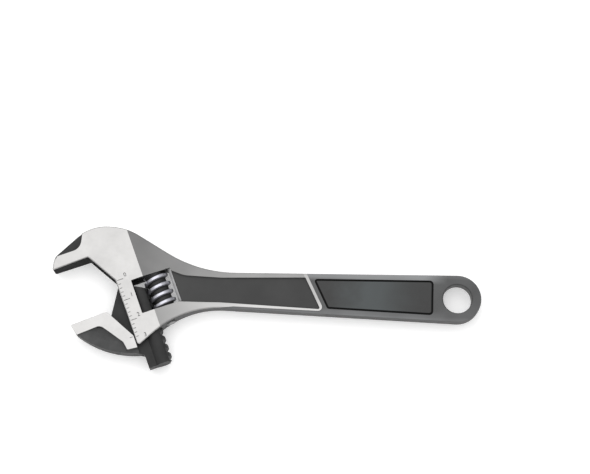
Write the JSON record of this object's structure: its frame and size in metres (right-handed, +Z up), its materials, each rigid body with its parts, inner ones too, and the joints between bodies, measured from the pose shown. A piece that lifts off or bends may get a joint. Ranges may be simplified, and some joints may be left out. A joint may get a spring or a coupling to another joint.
{
  "type": "adjustable wrench",
  "caption": "Adjustable wrench: forged handle with hanging hole, angled head with a fixed jaw, and a sliding jaw driven by a thumb worm.",
  "frame": {"origin": "centre of the hanging hole, on the mid-plane of the wrench", "axes": "+X along the handle, away from the jaws; +Y across the handle, towards the fixed jaw; +Z up, out of the upper face"},
  "size_m": [0.2539, 0.0836, 0.0154],
  "materials": {
    "forged_steel": "polished head, satin neck, dark phosphate handle",
    "jaw_steel": "dark phosphate with polished bands along the face",
    "worm_steel": "machined, worn bright on the crests",
    "pin_steel": "turned steel",
    "spring_steel": "drawn wire"
  },
  "bodies": {
    "body": {"body": "forged_steel", "worm_pin": "pin_steel", "worm_spring": "spring_steel"},
    "worm": {"worm": "worm_steel"},
    "jaw": {"movable_jaw": "jaw_steel"}
  },
  "joints": [
    {"name": "worm_turn", "type": "hinge", "parent": "body", "child": "worm", "pos_m": [-0.17601, -0.00136, 0], "axis": [0.3746, -0.9272, 0], "range_deg": [-208, 2410]},
    {"name": "jaw_slide", "type": "slide", "parent": "body", "child": "jaw", "axis": [-0.3746, 0.9272, 0], "range_m": [-0.003, 0.0348]}
  ],
  "couplings": [
    {"joint": "worm_turn", "follows": "jaw_slide", "rad_per_m": 1208.3}
  ]
}
